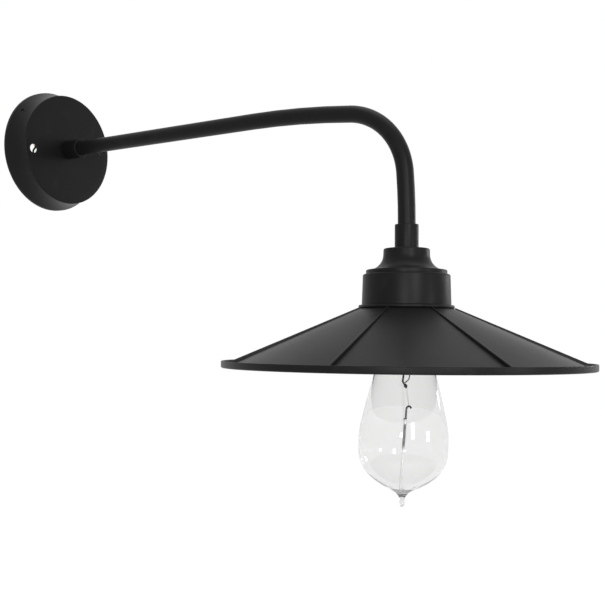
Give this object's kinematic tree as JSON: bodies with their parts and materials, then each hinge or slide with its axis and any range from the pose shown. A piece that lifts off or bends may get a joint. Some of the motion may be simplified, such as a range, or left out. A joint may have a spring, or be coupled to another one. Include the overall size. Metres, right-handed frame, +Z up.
{
  "type": "gooseneck wall sconce",
  "caption": "Wall sconce with a round dished canopy, a straight gooseneck arm that bends down and a wide shallow ribbed cone shade with an upturned rim over a bare pear-shaped bulb.",
  "frame": {"origin": "on the wall, at the centre of the canopy's open back and of the mounting strap", "axes": "+Y into the wall, +Z up, +X to the right for someone who faces the wall; the arm and lamp lie in the plane X = 0"},
  "size_m": [0.2618, 0.5076, 0.3453],
  "materials": {
    "black_metal": "satin",
    "zinc_steel": "satin",
    "black_screw": "satin",
    "brass": "satin",
    "white_plastic": "satin",
    "brown_wire": "satin",
    "blue_wire": "satin",
    "green_wire": "satin",
    "black_resin": "satin",
    "ceramic": "gloss",
    "clear_glass": "gloss",
    "black_glass": "gloss",
    "solder": "satin",
    "filament_metal": "satin"
  },
  "bodies": {
    "lamp": {"wall_canopy": "black_metal", "mounting_strap": "zinc_steel", "canopy_set_screws": "black_screw", "terminal_block": "white_plastic", "terminal_screws": "zinc_steel", "earth_screw": "brass", "earth_tags": "brass", "earth_lead": "green_wire", "arm_base_collar": "black_metal", "arm_base_nipple": "zinc_steel", "arm_base_nut": "zinc_steel", "arm_base_washer": "zinc_steel", "wire_bush": "white_plastic", "arm_tube": "black_metal", "arm_end_collar": "black_metal", "head_nipple": "zinc_steel", "head_lock_nut": "zinc_steel", "head_lock_washer": "zinc_steel", "live_wire": "brown_wire", "neutral_wire": "blue_wire", "holder_cap": "black_metal", "holder_cup": "black_metal", "gallery_ring": "black_metal", "shade_cone": "black_metal", "shade_rim": "black_metal", "shade_clamp_ring": "black_resin", "lampholder_cap": "black_resin", "lampholder_shell": "black_resin", "lampholder_base": "ceramic", "holder_terminals": "brass", "screw_shell": "brass", "centre_contact": "brass"},
    "bulb_carrier": {"bulb_contact": "solder"},
    "bulb": {"bulb_insulator": "black_glass", "bulb_cap": "brass", "bulb_glass": "clear_glass", "bulb_stem": "clear_glass", "bulb_leads": "filament_metal", "bulb_hook": "filament_metal", "bulb_rod": "clear_glass", "bulb_filament": "filament_metal"}
  },
  "joints": [
    {"name": "bulb_out", "type": "slide", "parent": "lamp", "child": "bulb_carrier", "axis": [0, 0, -1], "range_m": [0, 0.01448]},
    {"name": "bulb_turn", "type": "hinge", "parent": "bulb_carrier", "child": "bulb", "pos_m": [0, -0.3767, -0.15], "axis": [0, 0, -1], "range_deg": [0, 1441]}
  ],
  "couplings": [
    {"joint": "bulb_turn", "follows": "bulb_out", "rad_per_m": 1735.7}
  ]
}
